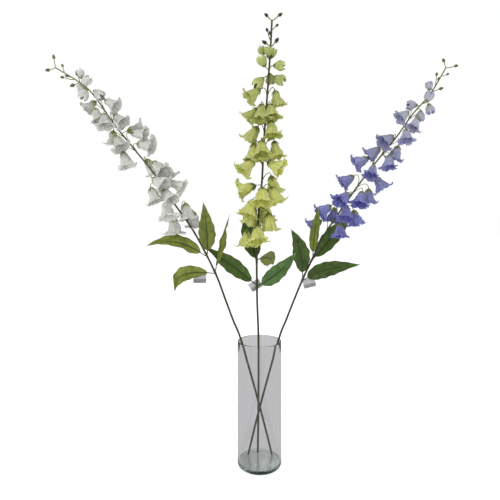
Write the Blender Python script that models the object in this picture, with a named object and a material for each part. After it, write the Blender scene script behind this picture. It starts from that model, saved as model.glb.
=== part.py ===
# Three artificial bellflower stems in a clear glass vase.
# Metres, +Z up. The origin is the middle of the vase's foot, and the front is the -Y side.
# Tables that are written in millimetres say so, and are turned to metres as they are used.

import math
import random

import bmesh
import bpy
from mathutils import Matrix, Quaternion, Vector

MM = 0.001
GAP = 0.3 * MM  # left between two pieces that touch
SMOOTH_ANGLE = math.radians(40)

# Vase
VASE_RADIUS = 0.048
VASE_HEIGHT = 0.270
VASE_WALL = 0.003
VASE_FLOOR = 0.008
FOOT_ROUND = 0.006
INSIDE_ROUND = 0.003
RIM_ROUND = 0.0014
VASE_SIDES = 32

# Stems
STEM_FOOT_RADIUS = 0.0022
STEM_TAPER_LENGTH = 0.600  # down from the tip, where it reaches its full thickness
STEM_SIDES = 8
STEM_RINGS = 22
ROUTE_STEPS = 12  # from one given point of a route to the next, before it is spaced evenly

# Blooms. A ring is where it is along the bloom and its radius, as shares of the bloom's length. The lip
# has the lobes' tips first and then the notches between them.
LOBES = 5
STALK_RADIUS = 0.00065
STALK_STEPS = 3
STALK_SPREAD = 0.005  # how far it bows away from the stem
BLOOM_FULL_LENGTH = 0.032
BLOOM_YOUNG_LENGTH = 0.014
BLOOM_GROWTH = 0.070  # down the stem, over which blooms grow by two thirds of the difference
FIRST_BLOOM_DOWN = 0.040
BLOOM_REACH = 0.022  # at which a bloom in front of the stem has its full tilt
FORWARD_TILT = math.radians(25)
SEPALS = (0.06, 0.20)
BELL = {
    "body": ((0.08, 0.17), (0.55, 0.34)),
    "lip": (0.94, 0.64, 0.86, 0.49),
    "hollow": 0.45,
    "drop": 0.013,  # from the neck's level down to the stalk's root
    "pull": 0.018,  # how long the stalk runs straight into the neck
}
CUP = {
    "body": ((0.12, 0.21), (0.50, 0.43)),
    "lip": (1.00, 0.36, 0.82, 0.37),
    "hollow": 0.50,
    "drop": 0.010,
    "pull": 0.006,
}
CUP_LAST_DOWN = 0.100  # blooms nearer the tip than this are half open

# Buds, on every stem alike, in millimetres: where the stalk leaves the stem, down from the tip, then
# where the bud's base is: down from the tip, to the right, to the front; and the bud's length, which
# is for a stem of size 1
BUDS = (
    (0, -8, -9, 0, 9),
    (0, -10, 13, 2, 9),
    (20, 10, 9, -3, 7),
    (44, 22, -8, -3, 8),
    (36, 31, -2, 3, 7),
    (56, 46, 9, 3, 10),
    (54, 50, -9, 3, 10),
)
BUD_WIDTH = 0.62  # of its length
BUD_FORM = ((0.25, 0.9), (0.65, 0.8))  # along, width
BUD_STALK_SAG = 0.08  # of its length

# Leaves
LEAF_THICKNESS = 0.0008
BLADE_STEPS = 8
LEAF_FOLD = 0.35  # how far the edges rise, per half width
LEAF_WAVE = 0.0016
LEAF_WAVES = 1.5  # along the leaf
LEAF_WIDEST = 0.72  # power of the way along. Below 1 it moves the widest place towards the stalk.
LEAF_ENDS = (0.85, 1.3)  # power of the width, at the stalk and at the tip. Above 1 the end is more pointed.
PETIOLE_HALF_WIDTH = 0.001
PETIOLE_SHARE = 0.08

# Tags
TAG_WIDTH = 0.027
TAG_HEIGHT = 0.020
TAG_THICKNESS = 0.0006

# Each spray, in millimetres and degrees.
# tip_radius: how thick the stem is at its tip.
# route: points on the stem, from its foot on the vase floor to its tip.
# blooms: down from the tip, to the right of the stem, to the front of it, and the lean to the right
#   of straight down, for the place where each bloom meets its stalk.
# leaves: down from the tip, then how far the leaf's point reaches to the right, to the front and up, the
#   same for the corner that its midrib bends round, its width, and its roll away from facing the front.
# tag: down from the tip, to the right, tilt; or the number of the leaf that it hangs under.
SPRAYS = {
    "white": {
        "petals": (0.78, 0.78, 0.76),
        "size": 1.05,
        "tip_radius": 1.2,
        "route": (
            (29, 21, 8.9), (1, 3, 123), (-38, -18, 270), (-57, -25, 321), (-73, -31, 366),
            (-95, -39, 426), (-137, -51, 510), (-176, -60, 568), (-217, -68, 630),
            (-257, -74, 681), (-291, -80, 724), (-333, -88, 785), (-362, -91, 810), (-405, -94, 836),
        ),
        "blooms": (
            (53, 9, 0, -163), (67, -1, 8, 140), (71, -3, -8, -105), (77, -2, 9, -25),
            (87, 7, 5, 53), (100, -6, -9, -54), (114, 13, 6, 62), (114, -14, 3, 23),
            (136, -3, 14, 13), (147, 11, 8, 51), (167, -11, -10, -8), (181, -12, 10, 33),
            (184, 12, -12, 105), (195, 17, 5, 80), (214, -22, 4, 21), (220, 13, 10, 80),
            (251, 4, -16, 30), (267, 14, 12, 48), (280, 22, -12, 40), (294, -5, 18, 60),
            (306, -21, 6, 24), (317, 18, 6, 63), (325, -1, 19, 43), (347, -12, 14, 16),
            (371, 19, 6, 13), (381, -20, -6, 4), (395, 20, -12, 5),
        ),
        "leaves": (
            (482, (-5, 35, 107), (2, 12, 45), 34, 10),
            (484, (-117, 30, 22), (-60, 15, 47), 32, 50),
            (522, (29, -20, 117), (7, -8, 60), 30, 70),
            (526, (-76, 30, -35), (-84, 20, 14), 32, 30),
        ),
        "tag_under_leaf": 4,
    },
    "lime": {
        "petals": (0.48, 0.58, 0.13),
        "size": 1.20,
        "tip_radius": 2.0,
        "route": (
            (-3, 32, 8.9), (-2, 14, 124), (-2, 5, 270), (-5, 1, 358), (-6, -4, 440), (-5, -7, 500),
            (-1, -10, 558), (5, -13, 616), (11, -18, 731), (17, -22, 812), (23, -27, 900), (26, -29, 959),
        ),
        "blooms": (
            (73, -14, -2, -159), (78, -4, 7, 178), (75, 4, -7, 167), (98, -9, 5, -151),
            (95, 9, 4, 87), (107, 1, -12, 10), (118, 13, 5, 56), (123, -11, 4, -45),
            (146, 16, -4, 14), (148, -17, 6, -53), (179, 8, 14, 5), (180, -11, 10, 2),
            (186, -18, -6, -46), (214, 12, 10, 6), (225, -16, -6, -34), (255, 22, 2, 8),
            (258, -6, 18, 3), (263, -21, 3, -5), (299, -20, 10, -45), (301, 10, 15, 61),
            (329, 20, -12, 10), (352, -14, -10, -73), (353, 20, 6, 23), (356, 1, 20, 0),
            (385, -16, 10, -19), (390, 11, -16, 5), (399, -12, -14, -10), (410, 21, 4, 7),
            (438, -2, 21, 5), (450, -22, 4, -3),
        ),
        "leaves": (
            (518, (-25, -56, 128), (-12, -34, 50), 42, 0),
            (513, (38, -66, -20), (30, -30, 12), 36, 0),
            (567, (-112, 10, 84), (-53, 5, 46), 34, 15),
            (570, (80, 45, 79), (46, 25, 26), 34, -20),
        ),
        "tag": (570, -3, 32),
    },
    "blue": {
        "petals": (0.25, 0.24, 0.58),
        "size": 0.98,
        "tip_radius": 1.2,
        "route": (
            (-25, 21, 8.9), (1, 8.5, 120), (42, 2, 270), (59, -1, 316), (76, -5, 361), (95, -8, 408),
            (117, -11, 455), (135, -14, 494), (163, -17, 538), (219, -24, 620), (267, -29, 682),
            (294, -32, 716), (322, -35, 757), (360, -39, 802), (390, -43, 854),
        ),
        "blooms": (
            (58, -6, 3, -172), (79, 11, -3, 17), (82, 4, 8, 160), (94, -4, -9, -96),
            (98, 9, -8, 0), (119, 13, 4, -29), (121, -11, 5, -53), (156, 4, 14, -2),
            (181, -9, 8, -54), (187, 16, -4, -18), (213, -11, -10, -54), (219, 11, 12, -5),
            (246, -19, -4, -61), (255, -2, 18, -21), (270, 19, 6, 31), (294, -19, -5, -56),
            (298, 24, -5, 2), (313, 13, 14, -19), (332, -9, 16, -49), (354, 25, -8, 15),
            (357, 2, 20, -10), (372, -12, -14, -5), (374, -24, 4, -54), (396, 12, 12, -3),
            (411, -21, -10, -60),
        ),
        "leaves": (
            (484, (9, 36, 107), (-2, 24, 52), 20, -20),
            (494, (112, -76, 110), (46, -37, 46), 36, -15),
            (535, (-28, 30, 104), (0, 15, 60), 36, 10),
            (540, (121, 12, 34), (42, 5, 29), 34, -20),
        ),
        "tag": (543, 17, 14),
    },
}


def clear_scene():
    for obj in list(bpy.data.objects):
        bpy.data.objects.remove(obj, do_unlink=True)


def make_material(name, colour, roughness, alpha=1.0):
    material = bpy.data.materials.new(name)
    material.use_nodes = True
    shader = material.node_tree.nodes["Principled BSDF"]
    shader.inputs["Base Color"].default_value = (*colour, 1.0)
    shader.inputs["Roughness"].default_value = roughness
    shader.inputs["Metallic"].default_value = 0.0
    shader.inputs["Alpha"].default_value = alpha
    return material


def add_object(name, mesh_data, materials, collection=None):
    mesh = bpy.data.meshes.new(name)
    mesh_data.normal_update()
    bmesh.ops.recalc_face_normals(mesh_data, faces=mesh_data.faces)
    mesh_data.to_mesh(mesh)
    mesh_data.free()
    for material in materials:
        mesh.materials.append(material)
    mesh.shade_smooth()
    mesh.set_sharp_from_angle(angle=SMOOTH_ANGLE)
    obj = bpy.data.objects.new(name, mesh)
    (collection or bpy.context.scene.collection).objects.link(obj)
    return obj


# Curves

def smooth_route(points, count):
    """Points at even distances along a smooth curve through the given points."""
    ends = [2 * points[0] - points[1], *points, 2 * points[-1] - points[-2]]
    dense = []
    for before, start, end, after in zip(ends, ends[1:], ends[2:], ends[3:]):
        for step in range(ROUTE_STEPS):
            t = step / ROUTE_STEPS
            dense.append(
                0.5 * (2 * start + (end - before) * t
                       + (2 * before - 5 * start + 4 * end - after) * t ** 2
                       + (3 * start - before - 3 * end + after) * t ** 3)
            )
    dense.append(points[-1])
    along = [0.0]
    for a, b in zip(dense, dense[1:]):
        along.append(along[-1] + (b - a).length)
    places = []
    k = 0
    for n in range(count):
        wanted = along[-1] * n / (count - 1)
        while k < len(along) - 2 and along[k + 1] < wanted:
            k += 1
        share = (wanted - along[k]) / (along[k + 1] - along[k])
        places.append(dense[k].lerp(dense[k + 1], share))
    return places


def bezier(corners, shares):
    """Points of the curve that bends round the inner corners, at those shares of the way along it."""
    places = []
    for share in shares:
        row = corners
        while len(row) > 1:
            row = [a.lerp(b, share) for a, b in zip(row, row[1:])]
        places.append(row[0])
    return places


def even_shares(steps):
    return [n / steps for n in range(steps + 1)]


def tangents(points):
    ahead = points[1:] + points[-1:]
    behind = points[:1] + points[:-1]
    return [(b - a).normalized() for a, b in zip(behind, ahead)]


def side_vectors(directions, first):
    """A direction square to each tangent, carried along without twisting."""
    side = (first - first.project(directions[0])).normalized()
    sides = [side]
    for a, b in zip(directions, directions[1:]):
        side = a.rotation_difference(b) @ side
        sides.append((side - side.project(b)).normalized())
    return sides


def ring(centre, direction, side, radii):
    """Points round a centre, one for each radius."""
    across = direction.cross(side)
    turn = 2 * math.pi / len(radii)
    return [
        centre + r * (math.cos(n * turn) * side + math.sin(n * turn) * across)
        for n, r in enumerate(radii)
    ]


# Solids

def loft(bm, rings, material=0):
    """A closed skin over rings of points. A ring may be one point, or have twice the last ring's corners."""
    rows = [[bm.verts.new(place) for place in places] for places in rings]
    for low, high in zip(rows, rows[1:]):
        for n in range(max(len(low), len(high))):
            a, b = high[n % len(high)], high[(n + 1) % len(high)]
            share = max(1, len(high) // len(low))
            c, d = low[(n // share) % len(low)], low[((n + 1) // share) % len(low)]
            corners = [corner for k, corner in enumerate((c, d, b, a)) if corner not in (c, d, b, a)[:k]]
            bm.faces.new(corners).material_index = material
    for row in (rows[0], rows[-1]):
        if len(row) > 1:
            bm.faces.new(row).material_index = material
    return rows


def tube_rings(places, directions, sides, radii, corners):
    return [
        ring(place, direction, side, [radius] * corners)
        for place, direction, side, radius in zip(places, directions, sides, radii)
    ]


# The stem of one spray, as places to put things

class Stem:
    def __init__(self, route, tip_radius):
        self.tip_radius = tip_radius * MM
        self.places = smooth_route([Vector(point) * MM for point in route], STEM_RINGS)
        self.along = [0.0]
        for a, b in zip(self.places, self.places[1:]):
            self.along.append(self.along[-1] + (b - a).length)
        self.length = self.along[-1]

    def at(self, down):
        """Place and upward direction, at a distance down from the tip. Above the tip it runs straight on."""
        wanted = self.length - down
        k = 1
        while k < len(self.along) - 1 and self.along[k] < wanted:
            k += 1
        a, b = self.places[k - 1], self.places[k]
        direction = (b - a).normalized()
        return a + direction * (wanted - self.along[k - 1]), direction

    def axes(self, down):
        """Place, upward direction, direction to the right and direction to the front."""
        place, up = self.at(down)
        front = Vector((0, -1, 0))
        front = (front - front.project(up)).normalized()
        return place, up, up.cross(front), front

    def beside(self, down, right, front):
        """A place that far to the right and to the front of the stem, and the way there."""
        place, _, to_right, to_front = self.axes(down)
        outward = to_right * right + to_front * front
        return place + outward, outward.normalized()

    def radius(self, down):
        share = min(1.0, max(0.0, down) / STEM_TAPER_LENGTH)
        return self.tip_radius + (STEM_FOOT_RADIUS - self.tip_radius) * share


def make_stem(name, stem, materials):
    directions = tangents(stem.places)
    sides = side_vectors(directions, Vector((1, 0, 0)))
    radii = [stem.radius(stem.length - along) for along in stem.along]
    bm = bmesh.new()
    loft(bm, tube_rings(stem.places, directions, sides, radii, STEM_SIDES))
    return add_object(name, bm, materials)


def make_bloom(name, stem, bloom, size, draw, materials, collection):
    down, right, front = (value * MM for value in bloom[:3])
    lean = math.radians(bloom[3])
    neck, outward = stem.beside(down, right, front)
    tilt = FORWARD_TILT * front / BLOOM_REACH
    hang = Vector((math.sin(lean) * math.cos(tilt), -math.sin(tilt), -math.cos(lean) * math.cos(tilt)))
    grown = 1 - math.exp(-max(0.0, down - FIRST_BLOOM_DOWN) / BLOOM_GROWTH)
    length = size * (BLOOM_YOUNG_LENGTH + (BLOOM_FULL_LENGTH - BLOOM_YOUNG_LENGTH) * grown)
    length *= draw.uniform(0.95, 1.05)
    form = CUP if down < CUP_LAST_DOWN else BELL

    # The stalk leaves the stem lower down, climbs along it, and arches over into the neck.
    root, up = stem.at(down + form["drop"])
    climb = root + up * form["drop"] + outward * STALK_SPREAD
    stalk = bezier([root, climb, neck - hang * form["pull"], neck], even_shares(STALK_STEPS))
    directions = tangents(stalk)
    side = Quaternion(hang, draw.uniform(0, 2 * math.pi)) @ hang.orthogonal().normalized()
    sides = side_vectors(directions[::-1], side)[::-1]
    rings = tube_rings(stalk, directions, sides, [STALK_RADIUS] * len(stalk), LOBES)

    # The stalk's five corners run to the tips of the sepals, and there become the ten of the bell.
    def around(along, radius, corners=2 * LOBES):
        return ring(neck + hang * along * length, hang, sides[-1], [radius * length] * corners)

    tip_along, tip_radius, notch_along, notch_radius = form["lip"]
    lobe_tips = around(tip_along, tip_radius)
    notches = around(notch_along, notch_radius)
    rings.append(around(*SEPALS, LOBES))
    rings.extend(around(*body) for body in form["body"])
    rings.append([lobe_tips[n] if n % 2 == 0 else notches[n] for n in range(2 * LOBES)])
    rings.append([neck + hang * form["hollow"] * length])
    bm = bmesh.new()
    loft(bm, rings, 1)
    return add_object(name, bm, materials, collection)


def make_bud(name, stem, bud, size, draw, materials, collection):
    root_down, down, right, front, length = (value * MM for value in bud)
    length *= size
    root = stem.at(root_down)[0]
    base = stem.beside(down, right, front)[0]
    way = (base - root).normalized()
    sag = Vector((0, 0, -BUD_STALK_SAG)) * (base - root).length
    points = [root, root.lerp(base, 0.5) + sag, base]
    directions = tangents(points)
    side = Quaternion(way, draw.uniform(0, 2 * math.pi)) @ way.orthogonal().normalized()
    sides = side_vectors(directions, side)
    rings = tube_rings(points, directions, sides, [STALK_RADIUS] * len(points), LOBES)
    for along, width in BUD_FORM:
        radius = 0.5 * width * BUD_WIDTH * length
        rings.append(ring(base + way * along * length, way, sides[-1], [radius] * LOBES))
    rings.append([base + way * length])
    bm = bmesh.new()
    loft(bm, rings)
    return add_object(name, bm, materials, collection)


def make_spray(name, spray, materials):
    stem = Stem(spray["route"], spray["tip_radius"])
    body = make_stem(name, stem, materials)
    draw = random.Random(name)
    repeats = bpy.data.collections.new(name + "_repeats")
    bpy.context.scene.collection.children.link(repeats)
    for n, bloom in enumerate(spray["blooms"]):
        make_bloom(f"{name}_bloom_{n}", stem, bloom, spray["size"], draw, materials, repeats)
    for n, bud in enumerate(BUDS):
        make_bud(f"{name}_bud_{n}", stem, bud, spray["size"], draw, materials, repeats)

    union = body.modifiers.new("Join", "BOOLEAN")
    union.operation = "UNION"
    union.operand_type = "COLLECTION"
    union.collection = repeats
    union.solver = "MANIFOLD"
    bpy.context.view_layer.objects.active = body
    bpy.ops.object.modifier_apply(modifier=union.name)
    for obj in list(repeats.objects):
        bpy.data.objects.remove(obj, do_unlink=True)
    bpy.data.collections.remove(repeats)
    keep_outer_skin(body.data)
    return stem


def keep_outer_skin(mesh):
    """Fills what the joining sealed, between blooms that meet, by dropping every skin but the outer one."""
    bm = bmesh.new()
    bm.from_mesh(mesh)
    left = set(bm.faces)
    skins = []
    while left:
        skin, edge_faces = set(), [left.pop()]
        while edge_faces:
            face = edge_faces.pop()
            skin.add(face)
            for edge in face.edges:
                for other in edge.link_faces:
                    if other in left:
                        left.discard(other)
                        edge_faces.append(other)
        skins.append(skin)
    outer = max(skins, key=len)
    bmesh.ops.delete(bm, geom=[face for face in bm.faces if face not in outer], context="FACES")
    bm.to_mesh(mesh)
    bm.free()


# Leaves and tags

def make_leaf(name, stem, leaf, material):
    down, width = leaf[0] * MM, leaf[3] * MM
    reach, bend = (Vector((right, -front, up)) * MM for right, front, up in leaf[1:3])
    shares = [0] + [PETIOLE_SHARE + (1 - PETIOLE_SHARE) * t for t in even_shares(BLADE_STEPS)]
    midrib = bezier([Vector(), bend, reach], shares)
    directions = tangents(midrib)
    facing = Vector((0, -1, 0))
    facing = (facing - facing.project(reach)).normalized()
    facing = Quaternion(reach.normalized(), math.radians(leaf[4])) @ facing
    normals = [(facing - facing.project(direction)).normalized() for direction in directions]

    # The leaf's stalk starts clear of the stem by the gap, measured from the nearest of its corners.
    place, stem_up = stem.at(down)
    outward = (bend - bend.project(stem_up)).normalized()
    corner = PETIOLE_HALF_WIDTH * abs(directions[0].cross(normals[0]).dot(outward))
    corner += LEAF_THICKNESS / 2 * abs(normals[0].dot(outward))
    root = place + outward * (stem.radius(down) + GAP + corner)
    midrib = [root + point for point in midrib]

    bm = bmesh.new()
    rows = []
    for t, centre, direction, normal in zip(shares, midrib, directions, normals):
        across = direction.cross(normal)
        broad = leaf_width(max(0.0, (t - PETIOLE_SHARE) / (1 - PETIOLE_SHARE)))
        half = PETIOLE_HALF_WIDTH + (0.5 * width - PETIOLE_HALF_WIDTH) * broad
        rise = LEAF_FOLD * (half - PETIOLE_HALF_WIDTH)
        wave = LEAF_WAVE * math.sin(2 * math.pi * LEAF_WAVES * t) * broad
        # The solid is thickened backwards from here.
        front_face = centre + normal * LEAF_THICKNESS / 2
        rows.append([
            bm.verts.new(front_face - across * half + normal * (rise + wave)),
            bm.verts.new(front_face),
            bm.verts.new(front_face + across * half + normal * (rise - wave)),
        ])
    for low, high in zip(rows, rows[1:]):
        for n in range(2):
            bm.faces.new((low[n], low[n + 1], high[n + 1], high[n]))
    bmesh.ops.triangulate(bm, faces=bm.faces, quad_method="ALTERNATE")
    bmesh.ops.solidify(bm, geom=bm.faces[:], thickness=LEAF_THICKNESS)
    add_object(name, bm, [material])
    return midrib


def leaf_width(t):
    """Share of the full width, along the blade: widest before the middle, with a long point."""
    if not 0 < t < 1:
        return 0.0
    power = LEAF_ENDS[0] + (LEAF_ENDS[1] - LEAF_ENDS[0]) * t
    return math.sin(math.pi * t ** LEAF_WIDEST) ** power


def make_tag(name, centre, across, facing, material):
    """A flat label round its centre, with its long side across."""
    across = (across - across.project(facing)).normalized()
    turn = Matrix((across, -facing, facing.cross(across))).transposed().to_4x4()
    size = Matrix.Diagonal((TAG_WIDTH, TAG_THICKNESS, TAG_HEIGHT, 1))
    bm = bmesh.new()
    bmesh.ops.create_cube(bm, size=1.0, matrix=Matrix.Translation(centre) @ turn @ size)
    add_object(name, bm, [material])


def make_stem_tag(name, stem, tag, material):
    """A label behind the stem, with its right end tilted up by tag[2] degrees."""
    down, right = tag[0] * MM, tag[1] * MM
    place, _, to_right, to_front = stem.axes(down)
    centre = place + to_right * right - to_front * (stem.radius(down) + GAP + TAG_THICKNESS / 2)
    tilt = math.radians(tag[2])
    make_tag(name, centre, Vector((math.cos(tilt), 0, math.sin(tilt))), to_front, material)


def make_leaf_tag(name, midrib, material):
    """A label that hangs under the first third of a leaf."""
    start, end = midrib[1], midrib[3]
    along = (end - start).normalized()
    hang = Vector((0, 0, -1))
    hang = (hang - hang.project(along)).normalized()
    centre = start.lerp(end, 0.5) + hang * (TAG_HEIGHT / 2 + LEAF_THICKNESS + 2 * GAP)
    make_tag(name, centre, along, along.cross(hang), material)


# The vase

def arc(centre, radius, start, end, steps):
    """Points of an arc in the profile, as distance from the axis and height. Angles are in degrees."""
    return [
        (
            centre[0] + radius * math.cos(math.radians(start + (end - start) * n / steps)),
            centre[1] + radius * math.sin(math.radians(start + (end - start) * n / steps)),
        )
        for n in range(steps + 1)
    ]


def make_vase(material):
    inside = VASE_RADIUS - VASE_WALL
    profile = [(0, 0)]
    profile += arc((VASE_RADIUS - FOOT_ROUND, FOOT_ROUND), FOOT_ROUND, -90, 0, 4)
    profile += arc((VASE_RADIUS - RIM_ROUND, VASE_HEIGHT - RIM_ROUND), RIM_ROUND, 0, 90, 2)
    profile += arc((inside + RIM_ROUND, VASE_HEIGHT - RIM_ROUND), RIM_ROUND, 90, 180, 2)
    profile += arc((inside - INSIDE_ROUND, VASE_FLOOR + INSIDE_ROUND), INSIDE_ROUND, 0, -90, 2)
    profile += [(0, VASE_FLOOR)]

    bm = bmesh.new()
    points = [bm.verts.new((radius, 0, height)) for radius, height in profile]
    edges = [bm.edges.new(pair) for pair in zip(points, points[1:])]
    bmesh.ops.spin(
        bm, geom=points + edges, cent=(0, 0, 0), axis=(0, 0, 1), angle=2 * math.pi, steps=VASE_SIDES,
        use_merge=True,
    )
    bmesh.ops.remove_doubles(bm, verts=bm.verts, dist=1e-6)
    return add_object("vase", bm, [material])


def main():
    clear_scene()
    glass = make_material("clear_glass", (0.86, 0.88, 0.87), 0.02, alpha=0.35)
    make_vase(glass)
    stem_green = make_material("stem_green", (0.06, 0.07, 0.02), 0.6)
    leaf_green = make_material("leaf_fabric", (0.08, 0.14, 0.03), 0.75)
    tag_film = make_material("tag_film", (0.36, 0.36, 0.37), 0.4)
    for colour, spray in SPRAYS.items():
        petals = make_material(colour + "_petals", spray["petals"], 0.8)
        stem = make_spray(colour + "_spray", spray, [stem_green, petals])
        midribs = [
            make_leaf(f"{colour}_leaf_{n}", stem, leaf, leaf_green)
            for n, leaf in enumerate(spray["leaves"], 1)
        ]
        if "tag" in spray:
            make_stem_tag(colour + "_tag", stem, spray["tag"], tag_film)
        else:
            make_leaf_tag(colour + "_tag", midribs[spray["tag_under_leaf"] - 1], tag_film)


main()
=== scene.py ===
# Three artificial bellflower stems, white, lime and blue, in a clear glass cylinder vase.
# Metres, +Z up, and the front is the -Y side.

import math
import random

import bmesh
import bpy
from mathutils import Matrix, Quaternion, Vector, noise


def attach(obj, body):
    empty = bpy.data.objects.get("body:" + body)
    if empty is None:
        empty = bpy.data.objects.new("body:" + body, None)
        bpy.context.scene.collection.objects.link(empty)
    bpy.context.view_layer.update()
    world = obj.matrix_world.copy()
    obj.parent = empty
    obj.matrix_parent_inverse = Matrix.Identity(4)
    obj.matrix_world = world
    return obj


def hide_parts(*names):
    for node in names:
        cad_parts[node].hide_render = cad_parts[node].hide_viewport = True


mm = 0.001
fullTurn = 2 * math.pi

noise.seed_set(3)  # or the noise would differ from run to run
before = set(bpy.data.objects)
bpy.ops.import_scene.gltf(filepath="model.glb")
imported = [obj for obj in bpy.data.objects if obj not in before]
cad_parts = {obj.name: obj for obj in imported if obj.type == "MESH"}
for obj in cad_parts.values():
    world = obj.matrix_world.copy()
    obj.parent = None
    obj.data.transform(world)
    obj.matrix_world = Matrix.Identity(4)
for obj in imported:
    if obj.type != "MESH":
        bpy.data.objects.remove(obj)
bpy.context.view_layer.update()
print("frame loaded:", len(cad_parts), "nodes")


# Colours and nodes

def linearColour(hexCode):
    # sRGB hex to the linear numbers that a shader takes
    shares = [int(hexCode[n:n + 2], 16) / 255 for n in (1, 3, 5)]
    return (*(c / 12.92 if c <= 0.04045 else ((c + 0.055) / 1.055) ** 2.4 for c in shares), 1.0)


def addNode(material, kind, inputs=None, **settings):
    # inputs: a socket's name or number, and what it gets: a node's socket, a node, which gives its first live
    # output, an sRGB hex colour, or a plain value. Every Mix here is one of colours.
    tree = material.node_tree
    node = tree.nodes.new("ShaderNode" + kind)
    if kind == "Mix":
        node.data_type = "RGBA"
    for name, value in settings.items():
        setattr(node, name, value)
    for name, value in (inputs or {}).items():
        if isinstance(value, bpy.types.Node):
            value = next(socket for socket in value.outputs if socket.enabled)
        if isinstance(value, bpy.types.NodeSocket):
            tree.links.new(value, node.inputs[name])
        else:
            node.inputs[name].default_value = linearColour(value) if isinstance(value, str) else value
    return node


def newMaterial(name):
    material = bpy.data.materials.new(name)
    material.use_nodes = True
    material.node_tree.nodes.clear()
    return material


# Curves

def smoothRoute(points, count, stepsBetween=12):
    # points at even distances along a smooth curve through the given points
    ends = [2 * points[0] - points[1], *points, 2 * points[-1] - points[-2]]
    dense = []
    for before, start, end, after in zip(ends, ends[1:], ends[2:], ends[3:]):
        for step in range(stepsBetween):
            t = step / stepsBetween
            dense.append(0.5 * (2 * start + (end - before) * t
                                + (2 * before - 5 * start + 4 * end - after) * t ** 2
                                + (3 * start - before - 3 * end + after) * t ** 3))
    dense.append(points[-1])
    along = [0.0]
    for a, b in zip(dense, dense[1:]):
        along.append(along[-1] + (b - a).length)
    places, k = [], 0
    for n in range(count):
        wanted = along[-1] * n / (count - 1)
        while k < len(along) - 2 and along[k + 1] < wanted:
            k += 1
        places.append(dense[k].lerp(dense[k + 1], (wanted - along[k]) / (along[k + 1] - along[k])))
    return places


def bendThrough(corners, share):
    # the point at that share of the way along the curve that bends round the inner corners
    row = corners
    while len(row) > 1:
        row = [a.lerp(b, share) for a, b in zip(row, row[1:])]
    return row[0]


def ease(value, start, end):
    # 0 before start, 1 after end, and smooth between
    t = min(1.0, max(0.0, (value - start) / (end - start)))
    return t * t * (3 - 2 * t)


# Objects and meshes

def addObject(name, data):
    thing = bpy.data.objects.new(name, data)
    bpy.context.scene.collection.objects.link(thing)
    return thing


def takeMesh(name, bm):
    mesh = bpy.data.meshes.new(name)
    bm.to_mesh(mesh)
    bm.free()
    return mesh


def addTubes(bm, tubes, sidesResolution, materialIndex=0):
    # tubes: lists of (point, radius). The curve's own bevel makes the skin, and closes its ends.
    curve = bpy.data.curves.new("tubes", "CURVE")
    curve.dimensions = "3D"
    curve.bevel_depth = 1.0
    curve.bevel_resolution = sidesResolution
    curve.use_fill_caps = True
    for tube in tubes:
        spline = curve.splines.new("POLY")
        spline.points.add(len(tube) - 1)
        for corner, (place, radius) in zip(spline.points, tube):
            corner.co = (*place, 1.0)
            corner.radius = radius
    holder = addObject("tubes", curve)
    mesh = bpy.data.meshes.new_from_object(holder.evaluated_get(bpy.context.evaluated_depsgraph_get()))
    first = len(bm.faces)
    bm.from_mesh(mesh)
    bm.faces.ensure_lookup_table()
    for face in bm.faces[first:]:
        face.material_index = materialIndex
    bpy.data.objects.remove(holder)
    bpy.data.curves.remove(curve)
    bpy.data.meshes.remove(mesh)


def finishPiece(name, bm, materials, replaced, attributes=None, wall=None):
    mesh = takeMesh(name, bm)
    for material in materials:
        mesh.materials.append(material)
    mesh.shade_smooth()
    for attributeName, (kind, field, values) in (attributes or {}).items():
        layer = mesh.attributes.new(attributeName, kind, "POINT")
        layer.data.foreach_set(field, values)
    piece = addObject(name, mesh)
    if wall:
        solid = piece.modifiers.new("wall", "SOLIDIFY")
        solid.thickness = wall
        solid.offset = -1
        solid.use_even_offset = False
        solid.material_offset = 1
        solid.material_offset_rim = 0
    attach(piece, "root")
    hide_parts(*replaced)
    return piece


def spinProfile(profile, steps):
    # profile: points as (distance from the z axis, height), which turn all the way round it
    bm = bmesh.new()
    corners = [bm.verts.new((radius, 0, height)) for radius, height in profile]
    edges = [bm.edges.new(pair) for pair in zip(corners, corners[1:])]
    bmesh.ops.spin(bm, geom=corners + edges, cent=(0, 0, 0), axis=(0, 0, 1), angle=fullTurn, steps=steps,
                   use_merge=True)
    return bm


def tubeTemplate(name, stepsAlong, stepsAround):
    # a plain open tube of radius 1 and height 1, whose points stand for the place along a cup and round it
    bm = spinProfile([(1, n / stepsAlong) for n in range(stepsAlong + 1)], stepsAround)
    bm.normal_update()
    inward = [f for f in bm.faces if f.normal.dot(f.calc_center_median() * Vector((1, 1, 0))) < 0]
    bmesh.ops.reverse_faces(bm, faces=inward)
    return takeMesh(name, bm)


# Flowers: pleated polyester fabric, heat-formed over a mould, with a moulded plastic calyx.
# A profile runs from the neck to the lobe's tip, as (along, radius) in shares of the bloom's length.
bellForm = {
    "profile": ((0, 0.03), (0.015, 0.10), (0.06, 0.16), (0.16, 0.21), (0.35, 0.27), (0.55, 0.335),
                (0.72, 0.395), (0.84, 0.455), (0.92, 0.525), (0.955, 0.595), (0.935, 0.655), (0.88, 0.68)),
    "lobeDepth": 0.18, "lobePower": 1.45, "ribs": 0.04, "pleats": 0.006, "folds": 0.024, "ruffle": 0.026,
    "crumple": 0.10,
}
rolledBellForm = {  # the hem rolls back into a broad lip
    **bellForm,
    "profile": ((0, 0.03), (0.015, 0.10), (0.06, 0.17), (0.16, 0.225), (0.35, 0.28), (0.57, 0.325),
                (0.75, 0.365), (0.87, 0.42), (0.94, 0.49), (0.955, 0.565), (0.91, 0.62), (0.845, 0.615)),
    "lobeDepth": 0.15, "lobePower": 2.2, "ruffle": 0.014, "pleats": 0.004,
}
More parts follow.
